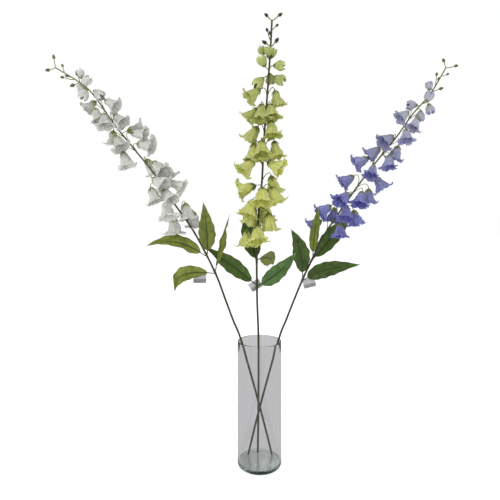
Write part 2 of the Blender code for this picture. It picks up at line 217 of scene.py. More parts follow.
frilledBellForm = {  # wider, with more frill, and the lobes' tips curl up further
    **bellForm,
    "profile": ((0, 0.03), (0.015, 0.10), (0.06, 0.165), (0.16, 0.22), (0.35, 0.29), (0.55, 0.36),
                (0.72, 0.42), (0.84, 0.48), (0.92, 0.55), (0.955, 0.62), (0.93, 0.68), (0.87, 0.70)),
    "lobeDepth": 0.19, "lobePower": 1.5, "ruffle": 0.036, "pleats": 0.008,
}
cupForm = {
    "profile": ((0, 0.03), (0.02, 0.10), (0.10, 0.20), (0.25, 0.31), (0.45, 0.40), (0.65, 0.43),
                (0.82, 0.39), (0.95, 0.32), (1.04, 0.27)),
    "lobeDepth": 0.30, "lobePower": 1.7, "ribs": 0.09, "pleats": 0.004, "folds": 0.03, "ruffle": 0.006,
    "crumple": 0.06,
}
calyxForm = {
    "profile": ((-0.07, 0.02), (-0.06, 0.05), (-0.03, 0.09), (0.01, 0.145), (0.06, 0.185), (0.11, 0.215),
                (0.17, 0.245), (0.215, 0.29)),
    "lobeDepth": 0.52, "lobePower": 0.8, "ribs": 0.05, "pleats": 0, "folds": 0, "ruffle": 0, "crumple": 0.02,
}
budForm = {
    "profile": ((0, 0.0), (0.01, 0.12), (0.10, 0.24), (0.28, 0.33), (0.50, 0.32), (0.72, 0.23),
                (0.90, 0.11), (0.99, 0.03), (1.0, 0.0)),
    "lobeDepth": 0, "lobePower": 1, "ribs": 0.06, "pleats": 0, "folds": 0, "ruffle": 0, "crumple": 0.03,
}
flower = {
    "lobes": 5, "pleatCount": 22, "rufflesPerLobe": 3,
    "fabricWall": 0.35 * mm, "calyxWall": 0.5 * mm,
    "fullLength": 32 * mm, "youngLength": 14 * mm, "growth": 70 * mm, "firstDown": 40 * mm,
    "sizeSpread": 0.05, "ageStart": 60 * mm, "ageEnd": 0.9,
    # a stalk's arch: how far below the bloom it leaves the stem, and how far it comes over the bloom
    "stalkSpread": 4 * mm, "shortStalksTo": 100 * mm,
    "shortDrop": 10 * mm, "shortPull": 6 * mm, "longDrop": 13 * mm, "longPull": 18 * mm,
    "stalkSteps": 16, "budStalkSteps": 8, "budStalk": 1.15, "budCalyx": 1.3, "budSag": 0.08,
    "forwardTilt": math.radians(25), "fullReach": 22 * mm,
    "bloomSquash": 0.09, "bloomBend": 0.06, "budSquash": 0.08, "budBend": 0.1, "crumpleScale": 3.5,
}

# Buds, on every stem alike, in millimetres: where the stalk leaves the stem, down from the tip, then where
# the bud's base is: down from the tip, to the right, to the front; and its length, for a stem of size 1.
budPlaces = (
    (0, -8, -9, 0, 9), (0, -10, 13, 2, 9), (20, 10, 9, -3, 7), (44, 22, -8, -3, 8), (36, 31, -2, 3, 7),
    (56, 46, 9, 3, 10), (54, 50, -9, 3, 10),
)

# Each spray, in millimetres and degrees.
# halfOpenTo: down from the tip to here, the blooms are half-open cups, halfOpenSize times as long as by age.
# route: points on the stem, from its foot on the vase floor to its tip.
# blooms: down from the tip, to the right of the stem, to the front of it, and the lean to the right of
#   straight down, where each bloom meets its stalk.
# leaves: down from the tip, how far the point reaches to the right, to the front and up, the same for the
#   corner that the midrib bends round, width, roll away from facing the front, and the leaf's print.
# In each spray's petals, the inside colour is painted shade deep in the cups, the fold colour is painted
# shade in the pleats' folds, and the pale streak colour is painted light on their ridges.
sprays = {
    "white": {
        "size": 1.05, "tipRadius": 1.2, "stalkRadius": 0.75,
        "bell": rolledBellForm, "halfOpenTo": 100, "halfOpenSize": 1.0,
        "petals": {"young": "#d4d5d1", "body": "#e6e6e2", "neck": "#c3c9a8", "rim": "#f0f0ee",
                   "inside": "#dcdcd6", "fold": "#d2d2cc", "ridgeLight": "#f2f2f0"},
        "green": {"foot": "#3d4026", "tip": "#6c7640", "bud": "#5b6538", "calyx": "#7d8a45"},
        "route": (
            (29, 21, 8.9), (1, 3, 123), (-38, -18, 270), (-57, -25, 321), (-73, -31, 366),
            (-95, -39, 426), (-137, -51, 510), (-176, -60, 568), (-217, -68, 630),
            (-257, -74, 681), (-291, -80, 724), (-333, -88, 785), (-362, -91, 810), (-405, -94, 836),
        ),
        "blooms": (
            (53, 9, 0, -163), (67, -1, 8, 140), (71, -3, -8, -105), (77, -2, 9, -25),
            (87, 7, 5, 53), (100, -6, -9, -54), (114, 13, 6, 62), (114, -14, 3, 23),
            (136, -3, 14, 13), (147, 11, 8, 51), (167, -11, -10, -8), (181, -12, 10, 33),
            (184, 12, -12, 105), (195, 17, 5, 80), (214, -22, 4, 21), (220, 13, 10, 80),
            (251, 4, -16, 30), (267, 14, 12, 48), (280, 22, -12, 40), (294, -5, 18, 60),
            (306, -21, 6, 24), (317, 18, 6, 63), (325, -1, 19, 43), (347, -12, 14, 16),
            (371, 19, 6, 13), (381, -20, -6, 4), (395, 20, -12, 5),
        ),
        "leaves": (
            (482, (-5, 35, 107), (2, 12, 45), 34, 10, "moss"),
            (484, (-117, 30, 22), (-60, 15, 47), 32, 50, "olive"),
            (522, (29, -20, 117), (7, -8, 60), 30, 70, "olive"),
            (526, (-76, 30, -35), (-84, 20, 14), 32, 30, "olive"),
        ),
        "tagUnderLeaf": 4,
    },
    "lime": {
        "size": 1.20, "tipRadius": 2.0, "stalkRadius": 0.95,
        "bell": bellForm, "halfOpenTo": 125, "halfOpenSize": 0.82,
        "petals": {"young": "#b1bb72", "body": "#e6ea88", "neck": "#b6bd60", "rim": "#eaedb4",
                   "inside": "#c0c655", "fold": "#cbc88f", "ridgeLight": "#e2e5ae"},
        "green": {"foot": "#3b3a22", "tip": "#3b411f", "bud": "#2b3215", "calyx": "#64722f"},
        "route": (
            (-3, 32, 8.9), (-2, 14, 124), (-2, 5, 270), (-5, 1, 358), (-6, -4, 440), (-5, -7, 500),
            (-1, -10, 558), (5, -13, 616), (11, -18, 731), (17, -22, 812), (23, -27, 900), (26, -29, 959),
        ),
        "blooms": (
            (73, -14, -2, -159), (78, -4, 7, 178), (75, 4, -7, 167), (98, -9, 5, -151),
            (95, 9, 4, 87), (107, 1, -12, 10), (118, 13, 5, 56), (123, -11, 4, -45),
            (146, 16, -4, 14), (148, -17, 6, -53), (179, 8, 14, 5), (180, -11, 10, 2),
            (186, -18, -6, -46), (214, 12, 10, 6), (225, -16, -6, -34), (255, 22, 2, 8),
            (258, -6, 18, 3), (263, -21, 3, -5), (299, -20, 10, -45), (301, 10, 15, 61),
            (329, 20, -12, 10), (352, -14, -10, -73), (353, 20, 6, 23), (356, 1, 20, 0),
            (385, -16, 10, -19), (390, 11, -16, 5), (399, -12, -14, -10), (410, 21, 4, 7),
            (438, -2, 21, 5), (450, -22, 4, -3),
        ),
        "leaves": (
            (518, (-25, -56, 128), (-12, -34, 50), 42, 0, "dark"),
            (513, (38, -66, -20), (30, -30, 12), 36, 0, "olive"),
            (567, (-112, 10, 84), (-53, 5, 46), 34, 15, "dark"),
            (570, (80, 45, 79), (46, 25, 26), 34, -20, "cool"),
        ),
        "tag": (570, -3, 32),
    },
    "blue": {
        "size": 0.98, "tipRadius": 1.2, "stalkRadius": 0.75,
        "bell": frilledBellForm, "halfOpenTo": 100, "halfOpenSize": 1.0,
        "petals": {"young": "#c3c5cb", "body": "#8b8dd0", "neck": "#adb2b9", "rim": "#9a9cdf",
                   "inside": "#6364ba", "fold": "#a09ecb", "ridgeLight": "#bfc2e6"},
        "green": {"foot": "#3d4026", "tip": "#5d6a3a", "bud": "#4e5833", "calyx": "#76823f"},
        "route": (
            (-25, 21, 8.9), (1, 8.5, 120), (42, 2, 270), (59, -1, 316), (76, -5, 361), (95, -8, 408),
            (117, -11, 455), (135, -14, 494), (163, -17, 538), (219, -24, 620), (267, -29, 682),
            (294, -32, 716), (322, -35, 757), (360, -39, 802), (390, -43, 854),
        ),
        "blooms": (
            (58, -6, 3, -172), (79, 11, -3, 17), (82, 4, 8, 160), (94, -4, -9, -96),
            (98, 9, -8, 0), (119, 13, 4, -29), (121, -11, 5, -53), (156, 4, 14, -2),
            (181, -9, 8, -54), (187, 16, -4, -18), (213, -11, -10, -54), (219, 11, 12, -5),
            (246, -19, -4, -61), (255, -2, 18, -21), (270, 19, 6, 31), (294, -19, -5, -56),
            (298, 24, -5, 2), (313, 13, 14, -19), (332, -9, 16, -49), (354, 25, -8, 15),
            (357, 2, 20, -10), (372, -12, -14, -5), (374, -24, 4, -54), (396, 12, 12, -3),
            (411, -21, -10, -60),
        ),
        "leaves": (
            (484, (9, 36, 107), (-2, 24, 52), 20, -20, "moss"),
            (494, (112, -76, 110), (46, -37, 46), 36, -15, "dark"),
            (535, (-28, 30, 104), (0, 15, 60), 36, 10, "deep"),
            (540, (121, 12, 34), (42, 5, 29), 34, -20, "deep"),
        ),
        "tag": (543, 17, 14),
    },
}

stemLook = {
    "footRadius": 2.3 * mm, "taperLength": 600 * mm, "rings": 240,
    "jointSwell": 0.5 * mm, "jointLength": 4 * mm, "bractLength": 5 * mm, "bractRadius": 0.7 * mm,
}


class Stem:
    def __init__(self, route, tipRadius):
        self.tipRadius = tipRadius * mm
        self.places = smoothRoute([Vector(point) * mm for point in route], stemLook["rings"])
        self.along = [0.0]
        for a, b in zip(self.places, self.places[1:]):
            self.along.append(self.along[-1] + (b - a).length)
        self.length = self.along[-1]

    def at(self, down):
        # place and upward direction, at a distance down from the tip
        wanted = self.length - down
        k = 1
        while k < len(self.along) - 1 and self.along[k] < wanted:
            k += 1
        a, b = self.places[k - 1], self.places[k]
        direction = (b - a).normalized()
        return a + direction * (wanted - self.along[k - 1]), direction

    def axes(self, down):
        place, up = self.at(down)
        front = Vector((0, -1, 0))
        front = (front - front.project(up)).normalized()
        return place, up, up.cross(front), front

    def beside(self, down, right, front):
        place, _, toRight, toFront = self.axes(down)
        outward = toRight * right + toFront * front
        return place + outward, outward.normalized()

    def radius(self, down):
        share = min(1.0, max(0.0, down) / stemLook["taperLength"])
        return self.tipRadius + (stemLook["footRadius"] - self.tipRadius) * share


def profileTable(form):
    # the profile as a finely spaced smooth line, so that a share of the way is a number in the list
    return smoothRoute([Vector((radius, 0, along)) for along, radius in form["profile"]], 120)


def addCup(bm, template, form, place, hang, side, length, wild, maps, tone, age, materialIndex):
    # adds one petal cup, calyx or bud, with this bloom's own squash, bend, phase and noise offset in wild
    if "table" not in form:
        form["table"] = profileTable(form)
    table = form["table"]
    lobes = flower["lobes"]
    across = hang.cross(side)
    firstVert, firstFace = len(bm.verts), len(bm.faces)
    bm.from_mesh(template)
    bm.verts.ensure_lookup_table()
    bm.faces.ensure_lookup_table()
    for vert in bm.verts[firstVert:]:
        theta, share = math.atan2(vert.co.y, vert.co.x), vert.co.z
        lobe = theta * lobes / fullTurn
        fromMidline = abs(2 * (lobe - round(lobe)))
        t = share * (1 - form["lobeDepth"] * fromMidline ** form["lobePower"])
        at = t * (len(table) - 1)
        k = min(int(at), len(table) - 2)
        spot = table[k].lerp(table[k + 1], at - k)
        radius, along = spot.x, spot.z
        open_ = ease(t, 0.05, 0.55)
        radius *= 1 + form["ribs"] * math.cos(lobes * theta) * open_
        radius += form["pleats"] * math.sin(flower["pleatCount"] * theta + wild["phase"]) * open_
        radius += form["folds"] * noise.noise(Vector((4 * math.cos(theta), 4 * math.sin(theta), share))
                                              + wild["offset"]) * open_ * (1 + ease(t, 0.6, 1.0))
        curl = form["ruffle"] * ease(t, 0.72, 1.0)
        turn = lobes * flower["rufflesPerLobe"] * theta + wild["phase"]
        radius += curl * math.sin(turn)
        along += curl * math.cos(turn + 2 * share)
        spot = Vector((radius * math.cos(theta) * (1 + wild["squash"]),
                       radius * math.sin(theta) * (1 - wild["squash"]), along))
        crumple = noise.noise_vector(spot * flower["crumpleScale"] + wild["offset"])
        spot += crumple * form["crumple"] * ease(t, 0.0, 0.6)
        spot.x += wild["bend"] * along * along
        vert.co = place + (side * spot.x + across * spot.y + hang * spot.z) * length
        maps["petalMap"].extend((share, fromMidline, tone, age))
        maps["petalThread"].extend((math.cos(theta) + wild["offset"].x, math.sin(theta), share))
    for face in bm.faces[firstFace:]:
        face.material_index = materialIndex


def drawWild(draw, squash, bend, phase=0):
    # what makes one bloom or bud unlike the next
    return {
        "phase": phase, "squash": draw.uniform(-squash, squash), "bend": draw.uniform(-bend, bend),
        "offset": Vector([draw.uniform(-40, 40) for _ in range(3)]),
    }


def buildSpray(colour, spray, templates, materials):
    stem = Stem(spray["route"], spray["tipRadius"])
    stalkRadius = spray["stalkRadius"] * mm
    sameDraw = random.Random(colour + "_spray")  # the same lengths and turns as the CAD solid's
    extraDraw = random.Random(colour + "_looks")
    petals, calyces, stems = bmesh.new(), bmesh.new(), bmesh.new()
    maps, unused = ({"petalMap": [], "petalThread": []} for _ in range(2))
    tubes = []
    lastDown = max(bloom[0] for bloom in spray["blooms"]) * mm
    for down, right, front, lean in spray["blooms"]:
        down, right, front, lean = down * mm, right * mm, front * mm, math.radians(lean)
        neck, outward = stem.beside(down, right, front)
        tilt = flower["forwardTilt"] * front / flower["fullReach"]
        hang = Vector((math.sin(lean) * math.cos(tilt), -math.sin(tilt), -math.cos(lean) * math.cos(tilt)))
        grown = 1 - math.exp(-max(0.0, down - flower["firstDown"]) / flower["growth"])
        length = flower["youngLength"] + (flower["fullLength"] - flower["youngLength"]) * grown
        length *= spray["size"] * sameDraw.uniform(1 - flower["sizeSpread"], 1 + flower["sizeSpread"])
        halfOpen = down < spray["halfOpenTo"] * mm
        length *= spray["halfOpenSize"] if halfOpen else 1
        arch = "short" if down < flower["shortStalksTo"] else "long"
        drop, pull = flower[arch + "Drop"], flower[arch + "Pull"]
        root, up = stem.at(down + drop)
        stalk = [root, root + up * drop + outward * flower["stalkSpread"], neck - hang * pull, neck]
        side = Quaternion(hang, sameDraw.uniform(0, fullTurn)) @ hang.orthogonal().normalized()
        # thick at its root, thinner on its way, and thick again at the calyx
        shares = [n / flower["stalkSteps"] for n in range(flower["stalkSteps"] + 1)]
        tubes.append([(bendThrough(stalk, share),
                       stalkRadius * (1.35 - 0.45 * ease(share, 0, 0.4) + 0.5 * ease(share, 0.85, 1)))
                      for share in shares])
        bractWay = (up * 0.8 - outward * extraDraw.uniform(-0.6, 1.0)
                    + Vector((0, extraDraw.uniform(-0.5, 0.5), 0))).normalized()
        bract = stemLook["bractLength"] * extraDraw.uniform(0.5, 1.2)
        tubes.append([(root + bractWay * bract * share, stemLook["bractRadius"] * (1 - 0.75 * share))
                      for share in (0, 0.3, 0.65, 1)])
        wild = drawWild(extraDraw, flower["bloomSquash"], flower["bloomBend"], extraDraw.uniform(0, fullTurn))
        tone, age = extraDraw.random(), ease(down, flower["ageStart"], lastDown * flower["ageEnd"])
        form = cupForm if halfOpen else spray["bell"]
        addCup(petals, templates["petals"], form, neck, hang, side, length, wild, maps, tone, age, 0)
        addCup(calyces, templates["calyx"], calyxForm, neck, hang, side, length, wild, unused, tone, age, 0)
    for rootDown, down, right, front, length in budPlaces:
        root = stem.at(rootDown * mm)[0]
        base = stem.beside(down * mm, right * mm, front * mm)[0]
        length *= spray["size"] * mm
        way = (base - root).normalized()
        sag = Vector((0, 0, -flower["budSag"])) * (base - root).length
        side = Quaternion(way, sameDraw.uniform(0, fullTurn)) @ way.orthogonal().normalized()
        middle = root.lerp(base, 0.5) + sag
        shares = [n / flower["budStalkSteps"] for n in range(flower["budStalkSteps"] + 1)]
        tubes.append([(bendThrough([root, middle, middle, base], share), stalkRadius * flower["budStalk"])
                      for share in shares])
        wild = drawWild(extraDraw, flower["budSquash"], flower["budBend"])
        addCup(stems, templates["bud"], budForm, base, way, side, length, wild, unused, 0.5, 0, 1)
        length *= flower["budCalyx"]
        addCup(calyces, templates["calyx"], calyxForm, base, way, side, length, wild, unused, 0.5, 0, 0)
    bmesh.ops.remove_doubles(stems, verts=stems.verts, dist=1e-6)
    addTubes(stems, tubes, 1, 2)
    joints = [leaf[0] * mm for leaf in spray["leaves"]]
    mainStem = []
    for place, along in zip(stem.places, stem.along):
        down = stem.length - along
        swell = sum(math.exp(-((down - joint) / stemLook["jointLength"]) ** 2) for joint in joints)
        mainStem.append((place, stem.radius(down) + stemLook["jointSwell"] * min(1.0, swell)))
    addTubes(stems, [mainStem], 3)
    bmesh.ops.recalc_face_normals(stems, faces=stems.faces)
    nodes = [colour + "_spray"]
    looks = {
        "petalMap": ("FLOAT_COLOR", "color", maps["petalMap"]),
        "petalThread": ("FLOAT_VECTOR", "vector", maps["petalThread"]),
    }
    faces = [materials["outer"], materials["inner"]]
    finishPiece(colour + "_bells", petals, faces, nodes, looks, flower["fabricWall"])
    faces = [materials["calyx"], materials["calyx"]]
    finishPiece(colour + "_calyces", calyces, faces, nodes, wall=flower["calyxWall"])
    faces = [materials["stem"], materials["bud"], materials["calyx"]]
    finishPiece(colour + "_stem", stems, faces, nodes)
    print(colour, "spray built:", len(spray["blooms"]), "blooms")
    return stem


def petalMaterial(name, look, inside):
    # Polyester satin, pressed into pleats: matt, a soft sheen, and some light passes through it
    material = newMaterial(name)
    marks = addNode(material, "Attribute", attribute_name="petalMap")
    parts = addNode(material, "SeparateColor", {"Color": marks.outputs["Color"]})
    along, fromMidline, tone = (parts.outputs[n] for n in ("Red", "Green", "Blue"))
    age = marks.outputs["Alpha"]
    body = addNode(material, "Mix", {0: age, 6: look["young"], 7: look["body"]})
    if inside:
        # Inside the cup the colour turns deeper towards the neck: painted shade, which thins out towards the
        # rim and on the young blooms.
        depth = addNode(material, "MapRange", {
            "Value": along, "From Min": 0.75, "From Max": 1.0, "To Min": 0.85, "To Max": 0.15})
        deepShadeShare = addNode(material, "MapRange", {"Value": age, "To Min": 0.35})
        inner = addNode(material, "Math", {0: depth, 1: deepShadeShare}, operation="MULTIPLY")
        body = addNode(material, "Mix", {0: inner, 6: body, 7: look["inside"]})
    else:
        neckShare = addNode(material, "MapRange", {
            "Value": along, "From Min": 0.08, "From Max": 0.42, "To Min": 0.9, "To Max": 0.0})
        body = addNode(material, "Mix", {0: neckShare, 6: body, 7: look["neck"]})
        rimShare = addNode(material, "MapRange", {
            "Value": along, "From Min": 0.7, "From Max": 1.0, "To Max": 0.7})
        body = addNode(material, "Mix", {0: rimShare, 6: body, 7: look["rim"]})
    # The seam between two lobes is pressed in, and the valley there is painted darker as painted shade.
    seamShadeShare = addNode(material, "MapRange", {
        "Value": fromMidline, "From Min": 0.7, "From Max": 1.0, "To Max": 0.35})
    seamShaded = addNode(material, "Mix", {0: seamShadeShare, 6: body, 7: "#c9c9c4"}, blend_type="MULTIPLY")
    # Pleats: long along the petal, about 2 mm from one to the next round a bell, with painted shade in their
    # folds and painted light on their pale ridges
    threads = addNode(material, "Attribute", attribute_name="petalThread")
    stretched = addNode(material, "Mapping", {"Vector": threads.outputs["Vector"], "Scale": (7.0, 7.0, 0.8)})
    pleats = addNode(material, "TexNoise", {
        "Vector": stretched, "Scale": 1.0, "Detail": 3.0, "Roughness": 0.6})
    # the small blooms near the tip are pressed less sharply
    sharpness = addNode(material, "MapRange", {"Value": age, "To Min": 0.25, "To Max": 0.6})
    # painted shade in the pleats' folds
    foldShadeShare = addNode(material, "MapRange", {
        "Value": pleats, "From Min": 0.52, "From Max": 0.36, "To Max": sharpness})
    foldShaded = addNode(material, "Mix", {0: foldShadeShare, 6: seamShaded, 7: look["fold"]}, blend_type="MULTIPLY")
    # painted light along the pleats' ridges
    ridgeLightShare = addNode(material, "MapRange", {
        "Value": pleats, "From Min": 0.52, "From Max": 0.68, "To Max": 0.5})
    pleatShadeAndLight = addNode(material, "Mix", {0: ridgeLightShare, 6: foldShaded, 7: look["ridgeLight"]})
    toneShare = addNode(material, "MapRange", {"Value": tone, "To Max": 0.30})
    toned = addNode(material, "Mix", {0: toneShare, 6: pleatShadeAndLight, 7: "#c4c4bc"}, blend_type="MULTIPLY")
    # The crepe crinkle is finer than 1 mm. It is drawn at 1 mm, so that it shows.
    grid = addNode(material, "TexCoord").outputs["Object"]
    crinkle = addNode(material, "TexNoise", {"Vector": grid, "Scale": 1 / (1.0 * mm), "Detail": 2.0})
    relief = addNode(material, "Math", {0: pleats, 1: 1.6, 2: crinkle}, operation="MULTIPLY_ADD")
    bump = addNode(material, "Bump", {"Strength": sharpness, "Distance": 0.5 * mm, "Height": relief})
    cloth = addNode(material, "BsdfPrincipled", {
        "Base Color": toned, "Roughness": 0.78, "Specular IOR Level": 0.3, "Sheen Weight": 0.12,
        "Sheen Roughness": 0.5, "Normal": bump})
    through = addNode(material, "BsdfTranslucent", {"Color": toned, "Normal": bump})
    both = addNode(material, "MixShader", {0: 0.25, 1: cloth, 2: through})
    addNode(material, "OutputMaterial", {"Surface": both})
    return material


def greenMaterial(name, foot, tip, roughness):
    # PE plastic moulded over wire: dull, a little mottled, browner at the foot and fresher towards the tip
    material = newMaterial(name)
    grid = addNode(material, "TexCoord").outputs["Object"]
    height = addNode(material, "SeparateXYZ", {"Vector": grid})
    share = addNode(material, "MapRange", {"Value": height.outputs["Z"], "From Min": 0.45, "From Max": 0.85})
    body = addNode(material, "Mix", {0: share, 6: foot, 7: tip})
    mottle = addNode(material, "TexNoise", {"Vector": grid, "Scale": 1 / (6 * mm), "Detail": 3.0})
    mottleShare = addNode(material, "MapRange", {
        "Value": mottle, "From Min": 0.4, "From Max": 0.65, "To Max": 0.5})
    mottled = addNode(material, "Mix", {0: mottleShare, 6: body, 7: "#9c9274"}, blend_type="MULTIPLY")
    grain = addNode(material, "TexNoise", {"Vector": grid, "Scale": 1 / (1.2 * mm)})
    bump = addNode(material, "Bump", {"Strength": 0.4, "Distance": 0.3 * mm, "Height": grain})
    plastic = addNode(material, "BsdfPrincipled", {
        "Base Color": mottled, "Roughness": roughness, "Specular IOR Level": 0.4, "Normal": bump})
    addNode(material, "OutputMaterial", {"Surface": plastic})
    return material


# Leaves: printed polyester with a plastic midrib glued under it
leafLook = {
    "fabricWall": 0.5 * mm, "fold": 0.35, "wave": 1.6 * mm, "waves": 1.5, "ruffle": 0.9 * mm, "ruffles": 4.5,
    "edgeWave": 0.05, "edgeWaves": 5.5,
    "widest": 0.72, "stalkEnd": 0.85, "tipEnd": 1.3,
    "petioleHalf": 1.0 * mm, "petioleShare": 0.08, "gap": 0.3 * mm, "cadWall": 0.8 * mm,
    "midribRadius": 1.1 * mm, "midribEnd": 0.9, "midribSteps": 24,
    "stepsAcross": 12, "stepsAlong": 36, "veinPairs": 9, "veinPuff": 0.25 * mm,
    # degrees that the blade twists round its midrib towards its base and its tip, where it is seen edge on
    "baseTwist": {"white_leaf_2": -48},
    "tipTwist": {"white_leaf_4": -62, "white_leaf_3": 30, "lime_leaf_3": 25},
    "prints": {
        "olive": {"face": "#7f8938", "shade": "#66712a", "vein": "#434c1c", "under": "#4e5630"},
        "moss": {"face": "#6c782c", "shade": "#566320", "vein": "#353f15", "under": "#4a5428"},
        "deep": {"face": "#425b1d", "shade": "#334714", "vein": "#233410", "under": "#37452a"},
        "dark": {"face": "#4f6a24", "shade": "#3c531c", "vein": "#283913", "under": "#3f4e27"},
        "cool": {"face": "#51723a", "shade": "#415c2d", "vein": "#2b4120", "under": "#43553a"},
    },
}


def leafWidth(t):
    # the blade's width, as a share of its widest, at a share of its length
    if not 0 < t < 1:
        return 0.0
    power = leafLook["stalkEnd"] + (leafLook["tipEnd"] - leafLook["stalkEnd"]) * t
    return math.sin(math.pi * t ** leafLook["widest"]) ** power


def buildLeaf(name, stem, leaf, materials):
    look = leafLook
    down, width = leaf[0] * mm, leaf[3] * mm
    reach, bend = (Vector((right, -front, up)) * mm for right, front, up in leaf[1:3])
    corners = [Vector(), bend, reach]
    facing = Vector((0, -1, 0))
    facing = (facing - facing.project(reach)).normalized()
    facing = Quaternion(reach.normalized(), math.radians(leaf[4])) @ facing

    place, stemUp = stem.at(down)
    outward = (bend - bend.project(stemUp)).normalized()
    standOff = look["gap"] + look["petioleHalf"]
    root = place + outward * (stem.radius(down) + standOff)

    baseTwist, tipTwist = (math.radians(look[end].get(name, 0)) for end in ("baseTwist", "tipTwist"))

    def spotAt(t):
        # centre, sideways direction and face normal of the blade, at a share of the midrib
        centre = root + bendThrough(corners, t)
        ahead, behind = bendThrough(corners, min(1, t + 0.01)), bendThrough(corners, max(0, t - 0.01))
        direction = (ahead - behind).normalized()
        normal = (facing - facing.project(direction)).normalized()
        twist = baseTwist * (1 - ease(t, 0.12, 0.42)) + tipTwist * ease(t, 0.58, 0.85)
        normal = Quaternion(direction, twist) @ normal
        return centre, direction.cross(normal), normal

    bm = bmesh.new()
    bm.loops.layers.uv.new("leafMap")
    bmesh.ops.create_grid(bm, x_segments=look["stepsAcross"], y_segments=look["stepsAlong"], size=0.5,
                          calc_uvs=True)
    for vert in bm.verts:
        # a: across, from -1 to 1. v: along the blade. t: along the midrib, whose start is the bare stalk.
        a, v = 2 * vert.co.x, vert.co.y + 0.5
        t = look["petioleShare"] + (1 - look["petioleShare"]) * v
        centre, across, normal = spotAt(t)
        broad = leafWidth(v)
        stalkHalf = look["petioleHalf"]
        half = stalkHalf * (1 - ease(v, 0.9, 1.0)) + (0.5 * width - stalkHalf) * broad
        rise = look["fold"] * (half - stalkHalf) * abs(a) ** 1.2
        wave = look["wave"] * math.sin(fullTurn * look["waves"] * t) * broad * -a
        ripple = math.sin(fullTurn * look["ruffles"] * v + 2 * a) * broad * abs(a) ** 3
        between = math.sin(math.pi * (v * look["veinPairs"] - 1.2 * abs(a))) ** 2
        puff = look["veinPuff"] * between * broad * math.sin(math.pi * min(1.0, abs(a)))
        lift = rise + wave + look["ruffle"] * ripple + puff
        edgeTurn = fullTurn * look["edgeWaves"] * v + 1.3 * a + 5 * width / mm
        edge = 1 + look["edgeWave"] * math.sin(edgeTurn)
        vert.co = centre + across * half * a * edge + normal * lift
    bm.normal_update()
    middle = min(bm.faces, key=lambda face: (face.calc_center_median() - spotAt(0.5)[0]).length)
    if middle.normal.dot(spotAt(0.5)[2]) < 0:
        bmesh.ops.reverse_faces(bm, faces=bm.faces)
    upper = set(bm.faces)
    bmesh.ops.solidify(bm, geom=bm.faces[:], thickness=look["fabricWall"])
    for face in bm.faces:
        face.material_index = 0 if face in upper else 1
    midrib = [(place, look["midribRadius"] * 1.4)]
    for n in range(look["midribSteps"] + 1):
        t = look["midribEnd"] * n / look["midribSteps"]
        centre, _, normal = spotAt(t)
        sink = -normal * look["fabricWall"] * ease(t, 0.02, 0.12)
        thinner = 0.72 * ease(t, 0.0, look["midribEnd"])
        midrib.append((centre + sink, look["midribRadius"] * (1 - thinner)))
    addTubes(bm, [midrib], 1, 2)
    finishPiece(name + "_blade", bm, materials, [name])
    # the blade's start, and a quarter of the way along it, where a tag may hang
    return [root + bendThrough(corners, look["petioleShare"] + (1 - look["petioleShare"]) * share)
            for share in (0, 1 / 4)]


def leafMaterial(name, look, underside):
    # Polyester fabric with a printed green: satin above, and duller and darker below
    material = newMaterial(name)
    grid = addNode(material, "TexCoord").outputs["Object"]
    place = addNode(material, "UVMap", uv_map="leafMap")
    parts = addNode(material, "SeparateXYZ", {"Vector": place})
    offset = addNode(material, "Math", {0: parts.outputs["X"], 1: 0.5}, operation="SUBTRACT")
    side = addNode(material, "Math", {0: offset}, operation="ABSOLUTE")
    # nine pairs of side veins, which rise towards the tip as they go out
    phase = addNode(material, "Math", {0: side, 1: -2.4}, operation="MULTIPLY")
    rows = addNode(material, "Math", {
        0: parts.outputs["Y"], 1: leafLook["veinPairs"], 2: phase}, operation="MULTIPLY_ADD")
    turns = addNode(material, "Math", {0: rows, 1: fullTurn}, operation="MULTIPLY")
    wave = addNode(material, "Math", {0: turns}, operation="COSINE")
    sideVein = addNode(material, "MapRange", {
        "Value": wave, "From Min": 0.75, "From Max": 1.0, "To Max": 0.22})
    # the midrib is a printed dark line, widened near the stalk into a broad band of painted shade in the
    # crease, which runs out before the tip
    creaseShadeWidth = addNode(material, "MapRange", {
        "Value": parts.outputs["Y"], "From Max": 0.9, "To Min": 0.14, "To Max": 0.03})
    midribAndCreaseShade = addNode(material, "MapRange", {
        "Value": side, "From Min": 0.008, "From Max": creaseShadeWidth, "To Min": 0.95, "To Max": 0.0},
        interpolation_type="SMOOTHSTEP")
    vein = addNode(material, "Math", {0: sideVein, 1: midribAndCreaseShade}, operation="MAXIMUM")
    # the print is darker in soft patches of about 12 mm
    patches = addNode(material, "TexNoise", {"Vector": grid, "Scale": 1 / (12 * mm), "Detail": 3.0})
    patchShare = addNode(material, "MapRange", {"Value": patches, "From Min": 0.38, "From Max": 0.62})
    plain, patched = (look["under"], look["face"]) if underside else (look["face"], look["shade"])
    body = addNode(material, "Mix", {0: patchShare, 6: plain, 7: patched})
    # the margin is darker, more in some places than in others
    margin = addNode(material, "MapRange", {"Value": side, "From Min": 0.42, "From Max": 0.49})
    marginShare = addNode(material, "Math", {0: margin, 1: patches}, operation="MULTIPLY")
    darkMargin = addNode(material, "Mix", {0: marginShare, 6: body, 7: look["vein"]})
    veined = addNode(material, "Mix", {0: vein, 6: darkMargin, 7: look["vein"]})
    # The weave's threads are 0.2 mm apart, and are drawn at 0.6 mm so that they show.
    weave = addNode(material, "TexNoise", {"Vector": grid, "Scale": 1 / (0.6 * mm)})
    relief = addNode(material, "Math", {0: weave, 1: 0.4, 2: vein}, operation="MULTIPLY_ADD")
    bump = addNode(material, "Bump", {"Strength": 0.5, "Distance": 0.3 * mm, "Height": relief})
    bump.invert = not underside
    cloth = addNode(material, "BsdfPrincipled", {
        "Base Color": veined, "Roughness": 0.75 if underside else 0.52, "Specular IOR Level": 0.28,
        "Sheen Weight": 0.04, "Normal": bump})
    addNode(material, "OutputMaterial", {"Surface": cloth})
    return material


